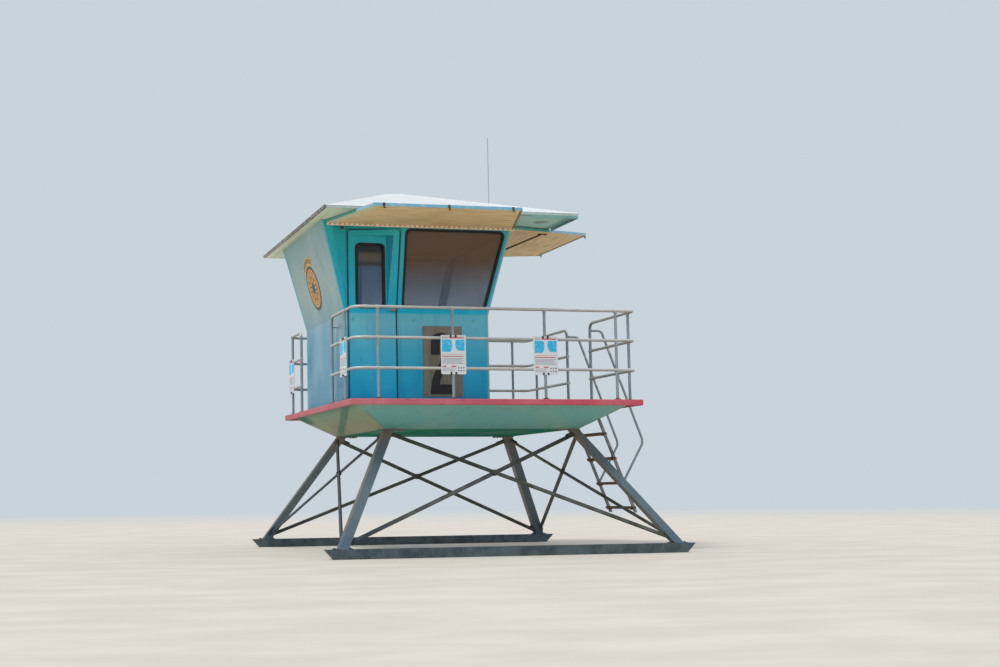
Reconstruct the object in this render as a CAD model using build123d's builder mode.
from build123d import *
import os
from math import atan2, cos, radians, sin

# Beach lifeguard tower: a moulded cabin on a square deck, raised on four splayed legs
# that stand on two steel skids. Millimetres. +X points to the open front of the deck,
# where the ladder is; the cabin door is on the near (-Y) side.
# Every place along X is measured from the middle of the deck.

# Deck and hull
deck_length = 3620
deck_width = 3640
deck_top = 1800
deck_plate = 40
rub_rail_height = 70
rub_rail_thickness = 40
rub_rail_corner = 30
rub_rail_round = 12
hull_depth = 320
hull_knee_drop = 120
hull_rim_drop = 46
hull_floor_margin_end = 573
hull_floor_margin_side = 620
hull_knee_margin_end = 230
hull_knee_margin_side = 250
hull_rim_margin_end = 100
hull_rim_margin_side = 110
hull_floor_corner = 10
hull_knee_corner = 40
hull_rim_corner = 90
seam = 0.3

# Skids, legs and braces
skid_height = 110
skid_width = 110
skid_nose = 105
skid_beyond_leg = 205
leg_size = 115
leg_inset_end = 65
leg_inset_side = 58
leg_spread_end = 833
leg_spread_side = 1026
head_plate_length = 250
head_plate_width = 160
head_plate_thickness = 12
head_plate_shift_end = 65
head_plate_shift_side = 25
brace_width = 45
brace_thickness = 18
brace_top_drop = 48
brace_foot_rise = 38
end_brace_shift = 22

# Cabin: heights above the deck
cabin_setback = 149
cabin_length = 1817
cabin_half_width = 1003
wall = 50
waist_height = 1078
wall_height = 2190
lean_end = 293
lean_side = 115

# Door in the near wall
door_post = 51
door_width = 605
door_top_drop = 90
door_right_lean = 40
door_leaf = 45
door_gap = 8
door_foot_gap = 12
door_flange = 75
door_field_margin = 120
door_splay = 225
pivot_inset = 7
pivot_pin = 8
pivot_clearance = 0.3
pivot_depth = 20

# Door window and handle
door_window_inset = 283
door_window_sill = 1139
door_window_width = 376
door_window_head_drop = 161
door_window_radius = 65
door_gasket_width = 32
handle_from_edge = 45
handle_height = 1125
handle_base_length = 60
handle_base_height = 34
handle_base_depth = 14
handle_spindle = 18
handle_spindle_shift = 12
handle_spindle_depth = 18
handle_bar_length = 90
handle_bar_height = 20
handle_bar_depth = 10
handle_bar_shift = -18
handle_round = 8

# Windows
sill_height = 1146
window_head_drop = 78
window_from_door_low = 60
window_from_door_high = 100
window_right_inset = 45
window_end_inset = 110
window_radius = 70
gasket_width = 28
gasket_proud = 6
gasket_clearance = 0.5
glass = 8

# Roof
roof_over_left = 131
roof_over_right = 581
roof_over_side = 712
roof_rise = 560
fascia = 30
roof_skin = 28
roof_cap = 160
soffit = 18

# Raised shutters: lengths across the slope, and how far they rise in degrees
shutter_side_length = 1080
shutter_end_length = 1120
shutter_thickness = 32
shutter_taper = 300
shutter_corner_gap = 10
shutter_drop = 10
shutter_side_rise = 0.5
shutter_side_shift = 45
shutter_end_rise = 0.0
strut_diameter = 22
strut_foot_depth = 306
strut_reach = 679
strut_inset = 258

# Railing: each post's distance from the nearest corner of the rails
tube = 36
post_tube = 34
rail_inset = 74
top_rail_height = 1067
middle_rail_height = 711
low_rail_height = 356
left_corner_radius = 130
right_corner_radius = 45
top_rail_bend = 90
rail_joint_gap = 10
side_post_first = 287
side_post_second = 1190
side_post_third = 1139
side_post_last = 230
left_near_post_first = 426
left_near_post_last = 1066
left_far_post_first = 156
left_far_post_last = 706
right_near_post_first = 149
right_near_post_last = 1282
right_far_post_first = 335
right_far_post_last = 1454
wall_tie_height = 940
wall_tie_diameter = 16

# Ladder: drops below the deck and distances beyond its edge
ladder_reach = 507
ladder_foot_drop = 1360
stringer_width = 32
stringer_thickness = 32
tread_count = 4
tread_first_drop = 332
tread_step = 316
tread_depth = 95
tread_thickness = 35
handrail_tube = 30
handrail_beyond = 621
handrail_height = 975
handrail_shoulder_beyond = 80
handrail_knee_drop = 420
handrail_return_drop = 967
handrail_straight = 60
handrail_shoulder_radius = 60
handrail_knee_radius = 20

# Boards and antenna
plate_from_door = 325
plate_width = 498
plate_height = 858
plate_lift = 79
plate_thickness = 8
notice_width = 305
notice_height = 457
notice_thickness = 3
notice_top = 745
notice_round = 15
antenna_from_eave = 460
antenna_height = 1350
antenna_diameter = 12
antenna_foot_diameter = 70
antenna_foot_height = 40

# Heights from the ground
hull_bottom = deck_top - hull_depth
hull_knee_z = deck_top - hull_knee_drop
hull_rim_z = deck_top - hull_rim_drop
brace_top = hull_bottom - brace_top_drop
brace_foot = skid_height + brace_foot_rise
waist = deck_top + waist_height
wall_top = deck_top + wall_height
door_top = wall_top - door_top_drop
window_sill = deck_top + sill_height
window_head = wall_top - window_head_drop
shutter_top = wall_top - shutter_drop
roof_apex = wall_top + roof_rise
antenna_top = wall_top + fascia + antenna_height

# Places along the deck, from its middle
leg_top_x = deck_length / 2 - hull_floor_margin_end - leg_inset_end
leg_top_y = deck_width / 2 - hull_floor_margin_side - leg_inset_side
leg_foot_x = leg_top_x + leg_spread_end
leg_foot_y = leg_top_y + leg_spread_side
skid_half_length = leg_foot_x + skid_beyond_leg
cabin_left = cabin_setback - deck_length / 2
cabin_right = cabin_left + cabin_length
top_left = cabin_left - lean_end
top_right = cabin_right + lean_end
top_half = cabin_half_width + lean_side
door_left = cabin_left + door_post
door_right = door_left + door_width
roof_left = top_left - roof_over_left
roof_right = top_right + roof_over_right
roof_half_width = top_half + roof_over_side
rail_x = deck_length / 2 - rail_inset
rail_y = deck_width / 2 - rail_inset
side_posts = (
    side_post_first - rail_x,
    side_post_second - rail_x,
    rail_x - side_post_third,
    rail_x - side_post_last,
)
left_near_posts = (left_near_post_first - rail_y, left_near_post_last - rail_y)
left_far_posts = (rail_y - left_far_post_first, rail_y - left_far_post_last)
right_near_posts = (right_near_post_first - rail_y, right_near_post_last - rail_y)
right_far_posts = (rail_y - right_far_post_first, rail_y - right_far_post_last)
handrail_reach = deck_length / 2 + handrail_beyond

# The origin is under the middle of the whole object's box.
origin_x = -(handrail_reach - skid_half_length) / 2


def level(z):
    """A horizontal plane at height z, centred on the deck."""
    return Plane(origin=(origin_x, 0, z))


def facing_side(y):
    """An upright plane along X at depth y: its own axes are X and Z, its normal is -Y."""
    return Plane(origin=(origin_x, y, 0), x_dir=(1, 0, 0), z_dir=(0, -1, 0))


def facing_end(x):
    """An upright plane along Y at x: its own axes are Y and Z, its normal is +X."""
    return Plane(origin=(origin_x + x, 0, 0), x_dir=(0, 1, 0), z_dir=(1, 0, 0))


def point(x, y, z):
    """A point given from the middle of the deck."""
    return Vector(origin_x + x, y, z)


def plan_box(x_low, x_high, y_low, y_high):
    """A rectangle of the open sketch, given by its sides."""
    with Locations(((x_low + x_high) / 2, (y_low + y_high) / 2)):
        Rectangle(x_high - x_low, y_high - y_low)


def box_ring(x_low, x_high, y_low, y_high, z):
    """The four corners of a level rectangle."""
    plan = ((x_low, y_low), (x_high, y_low), (x_high, y_high), (x_low, y_high))
    return [point(x, y, z) for x, y in plan]


def flat_sided(rings, mode=Mode.ADD):
    """A solid between level rings of as many corners each, with flat sides."""
    outlines = [rings[0], rings[-1]]
    for low, high in zip(rings, rings[1:]):
        for here in range(len(low)):
            after = (here + 1) % len(low)
            outlines.append([low[here], low[after], high[after], high[here]])
    sides = [Face(Wire.make_polygon(outline)) for outline in outlines]
    add(Solid(Shell(sides)), mode=mode)


def leaning_block(low, high, z_low, z_high, mode=Mode.ADD):
    """A block whose plan changes evenly from low at z_low to high at z_high."""
    flat_sided([box_ring(*low, z_low), box_ring(*high, z_high)], mode=mode)


def rod(start, finish, diameter):
    """A round bar between two points."""
    with BuildSketch(Plane(origin=start, z_dir=finish - start)) as section:
        Circle(diameter / 2)
    extrude(section.sketch, amount=(finish - start).length)


def bent_rod(points, radii, diameter):
    """A round bar along straight runs joined by arcs."""
    with BuildLine() as path:
        FilletPolyline(*points, radius=radii)
    start = path.wire() @ 0
    with BuildSketch(Plane(origin=start, z_dir=path.wire() % 0)) as section:
        Circle(diameter / 2)
    sweep(section.sketch, path=path.wire())


def save(builder, name):
    """Label a finished piece and write it."""
    builder.part.label = name
    export_step(builder.part, f"parts/{name}.step")


os.makedirs("parts", exist_ok=True)

# Skids: two box-section runners with noses cut back underneath
with BuildPart() as skids:
    for side in (-1, 1):
        with BuildSketch(facing_side(side * leg_foot_y)):
            with BuildLine():
                Polyline(
                    (-skid_half_length, skid_height),
                    (-skid_half_length + skid_nose, 0),
                    (skid_half_length - skid_nose, 0),
                    (skid_half_length, skid_height),
                    close=True,
                )
            make_face()
        extrude(amount=skid_width / 2, both=True)
save(skids, "skids")


# Legs: square tubes that lean out towards their feet, with a flat plate at the head
def leg_plan(x, y):
    half = leg_size / 2
    return (x - half, x + half, y - half, y + half)


legs = {}
for end, end_name in ((-1, "left"), (1, "right")):
    for side, side_name in ((-1, "near"), (1, "far")):
        with BuildPart() as leg:
            foot = leg_plan(end * leg_foot_x, side * leg_foot_y)
            head = leg_plan(end * leg_top_x, side * leg_top_y)
            leaning_block(foot, head, skid_height, hull_bottom)
            plate_x = leg_top_x - head_plate_shift_end
            plate_y = leg_top_y - head_plate_shift_side
            with BuildSketch(level(hull_bottom)):
                with Locations((end * plate_x, side * plate_y)):
                    Rectangle(head_plate_length, head_plate_width)
            extrude(amount=-head_plate_thickness)
        legs[(end, side)] = leg
        save(leg, f"leg_{side_name}_{end_name}")


def leg_axis(end, side, z):
    """The middle of a leg at height z."""
    share = (z - skid_height) / (hull_bottom - skid_height)
    x = leg_foot_x + (leg_top_x - leg_foot_x) * share
    y = leg_foot_y + (leg_top_y - leg_foot_y) * share
    return point(end * x, side * y, z)


# Braces: two flat bars on each side, one behind the other where they cross
def make_brace(first, second, further_out):
    with BuildPart() as brace:
        top_mid = (leg_axis(*first, brace_top) + leg_axis(*second, brace_top)) / 2
        foot_mid = (leg_axis(*first, brace_foot) + leg_axis(*second, brace_foot)) / 2
        across = (leg_axis(*second, brace_top) - leg_axis(*first, brace_top)).normalized()
        outward = across.cross(top_mid - foot_mid).normalized()
        offset = (brace_thickness + seam) / 2
        for start, finish, shift in ((first, second, offset), (second, first, -offset)):
            head = leg_axis(*start, brace_top) + outward * (shift + further_out)
            foot = leg_axis(*finish, brace_foot) + outward * (shift + further_out)
            run = foot - head
            with BuildSketch(Plane(origin=head, x_dir=outward, z_dir=run)) as section:
                Rectangle(brace_thickness, brace_width)
            extrude(section.sketch, amount=run.length)
        for key in (first, second):
            add(legs[key].part, mode=Mode.SUBTRACT)
    return brace


for name, first, second, further_out in (
    ("brace_near", (-1, -1), (1, -1), 0),
    ("brace_far", (-1, 1), (1, 1), 0),
    ("brace_left", (-1, 1), (-1, -1), end_brace_shift),
    ("brace_right", (1, -1), (1, 1), end_brace_shift),
):
    save(make_brace(first, second, further_out), name)

# Hull: a shallow moulded pan under the deck, flat at the bottom, with cut corners
hull_length = deck_length - 2 * hull_rim_margin_end
hull_width = deck_width - 2 * hull_rim_margin_side
hull_top = deck_top - deck_plate
decking_length = deck_length - 2 * rub_rail_thickness - 2 * seam
decking_width = deck_width - 2 * rub_rail_thickness - 2 * seam
rub_rail_bottom = deck_top - rub_rail_height


def cut_ring(length, width, corner, z):
    """The eight corners of a level rectangle whose corners are cut off."""
    x, y = length / 2, width / 2
    plan = (
        (corner - x, -y),
        (x - corner, -y),
        (x, corner - y),
        (x, y - corner),
        (x - corner, y),
        (corner - x, y),
        (-x, y - corner),
        (-x, corner - y),
    )
    return [point(along, across, z) for along, across in plan]


floor_length = deck_length - 2 * hull_floor_margin_end
floor_width = deck_width - 2 * hull_floor_margin_side
knee_length = deck_length - 2 * hull_knee_margin_end
knee_width = deck_width - 2 * hull_knee_margin_side
with BuildPart() as hull:
    flat_sided(
        [
            cut_ring(floor_length, floor_width, hull_floor_corner, hull_bottom),
            cut_ring(knee_length, knee_width, hull_knee_corner, hull_knee_z),
            cut_ring(hull_length, hull_width, hull_rim_corner, hull_rim_z),
            cut_ring(hull_length, hull_width, hull_rim_corner, hull_top),
        ]
    )
save(hull, "hull")

with BuildPart() as deck:
    with BuildSketch(level(hull_top)):
        Rectangle(decking_length, decking_width)
    extrude(amount=deck_plate)
save(deck, "deck")

with BuildPart() as rub_rail:
    with BuildSketch(level(rub_rail_bottom)):
        RectangleRounded(deck_length, deck_width, rub_rail_corner)
        Rectangle(decking_length + 2 * seam, decking_width + 2 * seam, mode=Mode.SUBTRACT)
    extrude(amount=rub_rail_height)
    level_faces = rub_rail.faces().filter_by(Axis.Z)
    fillet([edge for face in level_faces for edge in face.outer_wire().edges()], rub_rail_round)
save(rub_rail, "rub_rail")

# Cabin walls below the waist: upright slabs, the side walls between the near and far ones
inner_half = cabin_half_width - wall
near_y = -cabin_half_width
near_wall_left = door_right + door_gap
for name, footprint in (
    ("wall_near_lower", (near_wall_left, cabin_right, near_y, near_y + wall)),
    ("wall_far_lower", (cabin_left, cabin_right, cabin_half_width - wall, cabin_half_width)),
    ("wall_left_lower", (cabin_left, cabin_left + wall, -inner_half, inner_half)),
    ("wall_right_lower", (cabin_right - wall, cabin_right, -inner_half, inner_half)),
):
    with BuildPart() as lower_wall:
        with BuildSketch(level(deck_top)):
            plan_box(*footprint)
        extrude(amount=waist - deck_top)
    save(lower_wall, name)

# Cabin walls above the waist lean outwards on all four sides
top_inner = top_half - wall


def side_at(z, low, high):
    """A size that grows from low at the waist to high at the top of the wall."""
    return low + (high - low) * (z - waist) / (wall_top - waist)


def door_lean(z):
    """How far the door's free edge has moved right at height z."""
    return door_right_lean * (z - waist) / (door_top - waist)


def window_outline(plane, sill_left, sill_right, head_left, head_right, inset):
    """A window's outline with round corners, drawn inwards by inset, as a sketch."""
    with BuildSketch(plane) as outline:
        with BuildLine():
            Polyline(
                (sill_left, window_sill),
                (sill_right, window_sill),
                (head_right, window_head),
                (head_left, window_head),
                close=True,
            )
        make_face()
        fillet(outline.vertices(), window_radius)
        if inset > 0:
            offset(amount=-inset, mode=Mode.REPLACE)
    return outline.sketch


def side_window(inset):
    """The near and far windows."""
    sill_right = side_at(window_sill, cabin_right, top_right) - window_right_inset
    head_right = side_at(window_head, cabin_right, top_right) - window_right_inset
    sides = (door_right + window_from_door_low, sill_right, door_right + window_from_door_high, head_right)
    return window_outline(facing_side(0), *sides, inset)


def end_window(inset):
    """The front window."""
    sill_half = side_at(window_sill, cabin_half_width, top_half) - window_end_inset
    head_half = side_at(window_head, cabin_half_width, top_half) - window_end_inset
    return window_outline(facing_end(cabin_left), -sill_half, sill_half, -head_half, head_half, inset)


def side_slab(side, outer, inner, x_low, x_high, x_low_top, x_high_top):
    """A leaning slab of the near or far wall, between two depths below its outer face."""
    low = sorted((side * (cabin_half_width - outer), side * (cabin_half_width - inner)))
    high = sorted((side * (top_half - outer), side * (top_half - inner)))
    leaning_block((x_low, x_high, *low), (x_low_top, x_high_top, *high), waist, wall_top)


def front_slab(outer, inner, half_low, half_high, mode=Mode.ADD):
    """A leaning slab of the right wall, between two depths below its outer face."""
    low = (cabin_right - inner, cabin_right - outer, -half_low, half_low)
    high = (top_right - inner, top_right - outer, -half_high, half_high)
    leaning_block(low, high, waist, wall_top, mode=mode)


near_way = Vector(0, -top_half - wall, 0)
far_way = -near_way
right_way = Vector(top_right - cabin_left + wall, 0, 0)


def pierce(outline, way, mode):
    """Run an outline from inside the cabin out through a wall."""
    extrude(outline, amount=way.length, dir=way, mode=mode)


with BuildPart() as wall_near_upper:
    slab_left_top = near_wall_left + door_lean(wall_top)
    side_slab(-1, 0, wall, near_wall_left, cabin_right, slab_left_top, top_right)
    pierce(side_window(0), near_way, Mode.SUBTRACT)
save(wall_near_upper, "wall_near_upper")

with BuildPart() as wall_far_upper:
    side_slab(1, 0, wall, cabin_left, cabin_right, top_left, top_right)
    pierce(side_window(0), far_way, Mode.SUBTRACT)
save(wall_far_upper, "wall_far_upper")

with BuildPart() as wall_left_upper:
    leaning_block(
        (cabin_left, cabin_left + wall, -inner_half, inner_half),
        (top_left, top_left + wall, -inner_half, top_inner),
        waist,
        wall_top,
    )
save(wall_left_upper, "wall_left_upper")

with BuildPart() as wall_right_upper:
    front_slab(0, wall, inner_half, top_inner)
    pierce(end_window(0), right_way, Mode.SUBTRACT)
save(wall_right_upper, "wall_right_upper")

# The corner beside the door turns in from the leaning wall to the upright hinge line.
post_right = door_left - door_gap
with BuildPart() as wall_near_left:
    with BuildSketch(level(deck_top)):
        plan_box(cabin_left, post_right, near_y, near_y + wall)
    extrude(amount=waist - deck_top)
    leaning_block(
        (cabin_left, post_right, near_y, near_y + wall),
        (top_left, post_right, -top_half, near_y + wall),
        waist,
        wall_top,
    )
    with BuildSketch(level(waist)):
        with BuildLine():
            Polyline(
                (post_right, near_y),
                (post_right - door_splay, -top_half),
                (post_right, -top_half),
                close=True,
            )
        make_face()
    extrude(amount=wall_top - waist, mode=Mode.SUBTRACT)
save(wall_near_left, "wall_near_left")

# The strip of wall over the door runs from the hinge line out to the leaning wall.
with BuildPart() as wall_over_door:
    header_bottom = door_top + door_gap
    header_right = near_wall_left + door_lean(header_bottom)
    header_near = -side_at(header_bottom, cabin_half_width, top_half)
    with BuildSketch(level(header_bottom)):
        with BuildLine():
            Polyline(
                (post_right, near_y),
                (header_right, header_near),
                (header_right, near_y + wall),
                (post_right, near_y + wall),
                close=True,
            )
        make_face()
    extrude(amount=wall_top - header_bottom)
save(wall_over_door, "wall_over_door")


def pivot_rods(radius):
    """Upright rods on the door's hinge line, one at its foot and one at its head."""
    for bottom, top in (
        (deck_top, deck_top + door_foot_gap + pivot_depth),
        (door_top - pivot_depth, door_top + door_gap),
    ):
        with BuildSketch(level(bottom)) as section:
            with Locations((door_left + pivot_inset, near_y + pivot_inset)):
                Circle(radius)
        extrude(section.sketch, amount=top - bottom)


with BuildPart() as door_pins:
    pivot_rods(pivot_pin / 2)
save(door_pins, "door_pins")

with BuildPart() as pin_sockets:
    pivot_rods(pivot_pin / 2 + pivot_clearance)

# Door: a flat leaf below the waist, a deep moulded frame above it
door_window_x = door_left + door_window_inset
door_window_low = deck_top + door_window_sill
door_window_high = door_top - door_window_head_drop
door_window_height = door_window_high - door_window_low
door_window_z = (door_window_low + door_window_high) / 2
door_head_right = door_right + door_right_lean
door_head_near = -side_at(door_top, cabin_half_width, top_half)
with BuildPart() as door:
    with BuildSketch(level(deck_top + door_foot_gap)):
        plan_box(door_left, door_right, near_y, near_y + door_leaf)
    extrude(amount=waist - deck_top - door_foot_gap)
    leaning_block(
        (door_left, door_right, near_y, near_y + door_leaf),
        (door_left, door_head_right, door_head_near, near_y + door_leaf),
        waist,
        door_top,
    )
    with BuildSketch(level(waist)):
        with BuildLine():
            Polyline(
                (door_left, near_y),
                (door_right - door_field_margin, near_y),
                (door_head_right - door_flange, -top_half),
                (door_left, -top_half),
                close=True,
            )
        make_face()
    extrude(amount=door_top - door_flange - waist, mode=Mode.SUBTRACT)
    with BuildSketch(level(door_top - door_flange)):
        with BuildLine():
            Polyline(
                (door_left, near_y),
                (door_head_right, -top_half),
                (door_left, -top_half),
                close=True,
            )
        make_face()
    extrude(amount=door_flange, mode=Mode.SUBTRACT)
    with BuildSketch(facing_side(near_y)):
        with Locations((door_window_x, door_window_z)):
            RectangleRounded(door_window_width, door_window_height, door_window_radius)
    extrude(amount=-door_leaf, mode=Mode.SUBTRACT)
    add(pin_sockets.part, mode=Mode.SUBTRACT)
save(door, "door")


def door_window(inset, mode=Mode.ADD):
    """The door window's outline, drawn inwards by inset."""
    with Locations((door_window_x, door_window_z)):
        RectangleRounded(
            door_window_width - 2 * inset,
            door_window_height - 2 * inset,
            door_window_radius - inset,
            mode=mode,
        )


with BuildPart() as door_gasket:
    with BuildSketch(facing_side(near_y - gasket_proud)):
        door_window(seam)
        door_window(door_gasket_width, mode=Mode.SUBTRACT)
    extrude(amount=-(door_leaf + 2 * gasket_proud))
save(door_gasket, "door_gasket")

with BuildPart() as door_glass:
    with BuildSketch(facing_side(near_y + (door_leaf - glass) / 2)):
        door_window(door_gasket_width + seam)
    extrude(amount=-glass)
save(door_glass, "door_glass")

# Door handle: a base plate, a spindle and a lever that points to the hinge
with BuildPart() as door_handle:
    handle_x = door_right - handle_from_edge
    handle_z = deck_top + handle_height
    handle_face = -side_at(handle_z, cabin_half_width, top_half)
    with BuildSketch(facing_side(near_y)):
        with Locations((handle_x, handle_z)):
            RectangleRounded(handle_base_length, handle_base_height, handle_round)
    extrude(amount=near_y - handle_face + handle_base_depth)
    with BuildSketch(facing_side(handle_face - handle_base_depth)):
        with Locations((handle_x + handle_spindle_shift, handle_z)):
            Circle(handle_spindle / 2)
    extrude(amount=handle_spindle_depth)
    with BuildSketch(facing_side(handle_face - handle_base_depth - handle_spindle_depth)):
        with Locations((handle_x + handle_bar_shift, handle_z)):
            RectangleRounded(handle_bar_length, handle_bar_height, handle_round)
    extrude(amount=handle_bar_depth)
    add(door.part, mode=Mode.SUBTRACT)
save(door_handle, "door_handle")


def window_piece(side_name, outer, inner, inset, hole):
    """What fills a window between two depths: inset from its opening, with hole cut out."""
    with BuildPart() as piece:
        if side_name == "right":
            front_slab(outer, inner, cabin_half_width, top_half)
            outline, way = end_window, right_way
        else:
            side = -1 if side_name == "near" else 1
            side_slab(side, outer, inner, cabin_left, cabin_right, top_left, top_right)
            outline, way = side_window, far_way * side
        pierce(outline(inset), way, Mode.INTERSECT)
        if hole > 0:
            pierce(outline(hole), way, Mode.SUBTRACT)
    return piece.part


# Window glass and rubber gaskets
glazed_sides = ("near", "far", "right")
with BuildPart() as window_gaskets:
    gasket_depth = wall - gasket_clearance
    for side_name in glazed_sides:
        add(window_piece(side_name, -gasket_proud, gasket_depth, gasket_clearance, gasket_width))
save(window_gaskets, "window_gaskets")

with BuildPart() as window_glass:
    glass_depth = (wall - glass) / 2
    for side_name in glazed_sides:
        add(window_piece(side_name, glass_depth, glass_depth + glass, gasket_width + seam, 0))
save(window_glass, "window_glass")

# Roof: a low four-sided shell over a flat soffit
roof_peak_x = (cabin_left + cabin_right) / 2
eave_top = wall_top + fascia


def roof_block(inset, mode):
    """The roof's outer form, or the space inside it, inset by the skin."""
    eave = (roof_left + inset, roof_right - inset, inset - roof_half_width, roof_half_width - inset)
    half_cap = roof_cap / 2
    cap = (roof_peak_x - half_cap, roof_peak_x + half_cap, -half_cap, half_cap)
    rings = [box_ring(*eave, wall_top), box_ring(*eave, eave_top), box_ring(*cap, roof_apex - inset)]
    flat_sided(rings, mode=mode)


with BuildPart() as roof:
    roof_block(0, Mode.ADD)
    roof_block(roof_skin, Mode.SUBTRACT)
save(roof, "roof")

with BuildPart() as roof_soffit:
    rim = roof_skin + seam
    with BuildSketch(level(wall_top)):
        plan_box(roof_left + rim, roof_right - rim, rim - roof_half_width, roof_half_width - rim)
    extrude(amount=soffit)
save(roof_soffit, "roof_soffit")

# Shutters: tapered panels, hinged along the top of each window wall and propped up
side_hinge = side_at(shutter_top, cabin_half_width, top_half) + seam
end_hinge = side_at(shutter_top, cabin_right, top_right) + seam
side_rise = radians(shutter_side_rise)
end_rise = radians(shutter_end_rise)
cabin_middle = (top_left + top_right) / 2
near_shutter_plane = Plane(
    origin=point(cabin_middle + shutter_side_shift, -side_hinge, shutter_top),
    x_dir=(1, 0, 0),
    z_dir=(0, -sin(side_rise), -cos(side_rise)),
)
far_shutter_plane = Plane(
    origin=point(cabin_middle + shutter_side_shift, side_hinge, shutter_top),
    x_dir=(-1, 0, 0),
    z_dir=(0, sin(side_rise), -cos(side_rise)),
)
right_shutter_plane = Plane(
    origin=point(end_hinge, 0, shutter_top),
    x_dir=(0, 1, 0),
    z_dir=(sin(end_rise), 0, -cos(end_rise)),
)
# Each plane faces down; its own X runs along the hinge and its own Y points outwards.
for name, plane, hinge_half, length in (
    ("shutter_near", near_shutter_plane, (top_right - top_left) / 2, shutter_side_length),
    ("shutter_far", far_shutter_plane, (top_right - top_left) / 2, shutter_side_length),
    ("shutter_right", right_shutter_plane, top_half, shutter_end_length),
):
    hinge_half = hinge_half - shutter_corner_gap
    outer_half = hinge_half - shutter_taper
    with BuildPart() as shutter:
        with BuildSketch(plane):
            with BuildLine():
                Polyline(
                    (-hinge_half, 0),
                    (hinge_half, 0),
                    (outer_half, length),
                    (-outer_half, length),
                    close=True,
                )
            make_face()
        extrude(amount=shutter_thickness)
    save(shutter, name)

# Struts: round bars from the front wall up to the underside of its shutter
with BuildPart() as shutter_struts:
    strut_foot_z = wall_top - strut_foot_depth
    strut_wall_x = side_at(strut_foot_z, cabin_right, top_right)
    strut_y = side_at(strut_foot_z, cabin_half_width, top_half) - strut_inset
    for side in (-1, 1):
        low = point(strut_wall_x - wall / 2, side * strut_y, strut_foot_z)
        high = point(strut_wall_x + strut_reach, side * strut_y, shutter_top)
        rod(low, high, strut_diameter)
    front_slab(-seam, wall, top_half, top_half, mode=Mode.SUBTRACT)
    with BuildSketch(right_shutter_plane.offset(shutter_thickness)):
        Rectangle(2 * top_half, 2 * shutter_end_length)
    extrude(amount=-2 * shutter_thickness, mode=Mode.SUBTRACT)
save(shutter_struts, "shutter_struts")

# Railing: three tube rails carried by posts, with rounded corners
rail_z = [deck_top + height for height in (top_rail_height, middle_rail_height, low_rail_height)]
left_split = rail_x - left_corner_radius - rail_joint_gap
right_split = rail_x - right_corner_radius - rail_joint_gap


def post(x, y):
    """An upright tube from the deck to the top rail."""
    rod(point(x, y, deck_top), point(x, y, rail_z[0]), post_tube)


for side, name in ((-1, "railing_near"), (1, "railing_far")):
    with BuildPart() as railing:
        for z in rail_z:
            rod(point(-left_split, side * rail_y, z), point(right_split, side * rail_y, z), tube)
        for x in side_posts:
            post(x, side * rail_y)
    save(railing, name)

for name, end, side, post_ys in (
    ("railing_left_near", -1, -1, left_near_posts),
    ("railing_left_far", -1, 1, left_far_posts),
    ("railing_right_near", 1, -1, right_near_posts),
    ("railing_right_far", 1, 1, right_far_posts),
):
    split = left_split if end < 0 else right_split
    corner_radius = left_corner_radius if end < 0 else right_corner_radius
    with BuildPart() as railing:
        for z in rail_z:
            route = [
                point(end * (split + seam), side * rail_y, z),
                point(end * rail_x, side * rail_y, z),
                point(end * rail_x, post_ys[-1], z),
            ]
            # The top rail bends down and is the last post.
            if z == rail_z[0]:
                route.append(point(end * rail_x, post_ys[-1], deck_top))
                bent_rod(route, (corner_radius, top_rail_bend), tube)
            else:
                bent_rod(route, (corner_radius,), tube)
        for y in post_ys[:-1]:
            post(end * rail_x, y)
        if name == "railing_left_near":
            tie_z = deck_top + wall_tie_height
            tie_y = post_ys[-1]
            rod(point(-rail_x, tie_y, tie_z), point(cabin_left - seam, tie_y, tie_z), wall_tie_diameter)
    save(railing, name)

# Ladder: two square stringers under the deck's rim, four treads and two hoop handrails
ladder_near = right_near_posts[1]
ladder_far = right_far_posts[1]
ladder_foot_z = deck_top - ladder_foot_drop
ladder_top_z = rub_rail_bottom - seam
ladder_drop = ladder_top_z - ladder_foot_z
stringer_half = stringer_width / 2 / sin(atan2(ladder_drop, ladder_reach))


def ladder_x(z):
    """The X of the stringers' middle line at height z."""
    top_x = decking_length / 2 + seam + stringer_half
    return top_x + ladder_reach * (ladder_top_z - z) / ladder_drop


with BuildPart() as ladder_stringers:
    for y in (ladder_near, ladder_far):
        with BuildSketch(facing_side(y)):
            with BuildLine():
                Polyline(
                    (ladder_x(ladder_top_z) - stringer_half, ladder_top_z),
                    (ladder_x(ladder_foot_z) - stringer_half, ladder_foot_z),
                    (ladder_x(ladder_foot_z) + stringer_half, ladder_foot_z),
                    (ladder_x(ladder_top_z) + stringer_half, ladder_top_z),
                    close=True,
                )
            make_face()
        extrude(amount=stringer_thickness / 2, both=True)
save(ladder_stringers, "ladder_stringers")

with BuildPart() as ladder_treads:
    tread_half = (ladder_far - ladder_near - stringer_thickness) / 2 - seam
    for step in range(tread_count):
        z = deck_top - tread_first_drop - step * tread_step
        with BuildSketch(facing_side((ladder_near + ladder_far) / 2)):
            with Locations((ladder_x(z), z - tread_thickness / 2)):
                Rectangle(tread_depth, tread_thickness)
        extrude(amount=tread_half, both=True)
save(ladder_treads, "ladder_treads")

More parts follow.
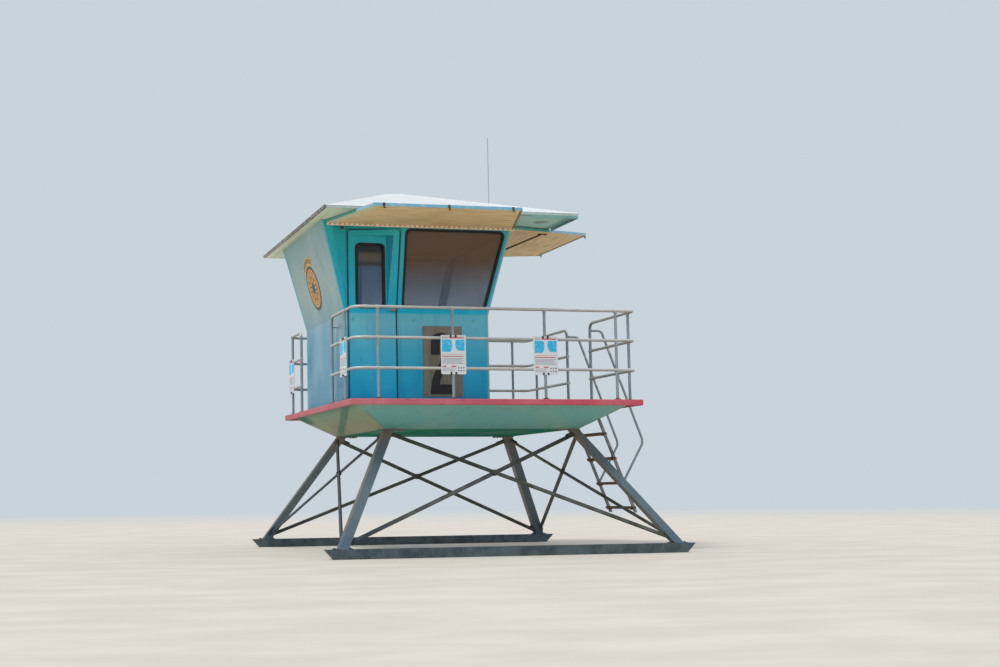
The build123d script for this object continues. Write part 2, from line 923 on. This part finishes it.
with BuildPart() as ladder_handrails:
    handrail_top = deck_top + handrail_height
    shoulder_x = deck_length / 2 + handrail_shoulder_beyond
    knee_x = handrail_reach - handrail_tube / 2
    knee_z = deck_top - handrail_knee_drop
    return_z = deck_top - handrail_return_drop
    for y in (ladder_near, ladder_far):
        bent_rod(
            (
                point(rail_x + tube / 2 + seam, y, handrail_top),
                point(shoulder_x, y, handrail_top),
                point(knee_x, y, knee_z),
                point(knee_x, y, knee_z - handrail_straight),
                point(ladder_x(return_z), y, return_z),
            ),
            (handrail_shoulder_radius, handrail_knee_radius, handrail_knee_radius),
            handrail_tube,
        )
    add(ladder_stringers.part, mode=Mode.SUBTRACT)
save(ladder_handrails, "ladder_handrails")

# Boards
with BuildPart() as number_plate:
    plate_left = door_right + plate_from_door
    plate_bottom = deck_top + plate_lift
    with BuildSketch(facing_side(near_y)):
        plan_box(plate_left, plate_left + plate_width, plate_bottom, plate_bottom + plate_height)
    extrude(amount=plate_thickness)
save(number_plate, "number_plate")

with BuildPart() as notice_boards:
    board_z = deck_top + notice_top - notice_height / 2
    for x in side_posts[1:3]:
        with BuildSketch(facing_side(-rail_y - tube / 2 - seam)):
            with Locations((x, board_z)):
                RectangleRounded(notice_width, notice_height, notice_round)
        extrude(amount=notice_thickness)
    for y in (left_near_posts[0], left_far_posts[0]):
        with BuildSketch(facing_end(-rail_x - tube / 2 - seam)):
            with Locations((y, board_z)):
                RectangleRounded(notice_width, notice_height, notice_round)
        extrude(amount=-notice_thickness)
save(notice_boards, "notice_boards")

# Antenna: a thin whip on a round foot on the roof's right slope
with BuildPart() as antenna:
    antenna_x = roof_right - antenna_from_eave
    roof_slope = (roof_apex - eave_top) / (roof_right - roof_peak_x - roof_cap / 2)
    antenna_foot_z = eave_top + (roof_right - antenna_x) * roof_slope
    with BuildSketch(level(wall_top)):
        with Locations((antenna_x, 0)):
            Circle(antenna_diameter / 2)
    extrude(amount=antenna_top - wall_top)
    with BuildSketch(level(wall_top)):
        with Locations((antenna_x, 0)):
            Circle(antenna_foot_diameter / 2)
    extrude(amount=antenna_foot_z + antenna_foot_height - wall_top)
    roof_block(0, Mode.SUBTRACT)
save(antenna, "antenna")
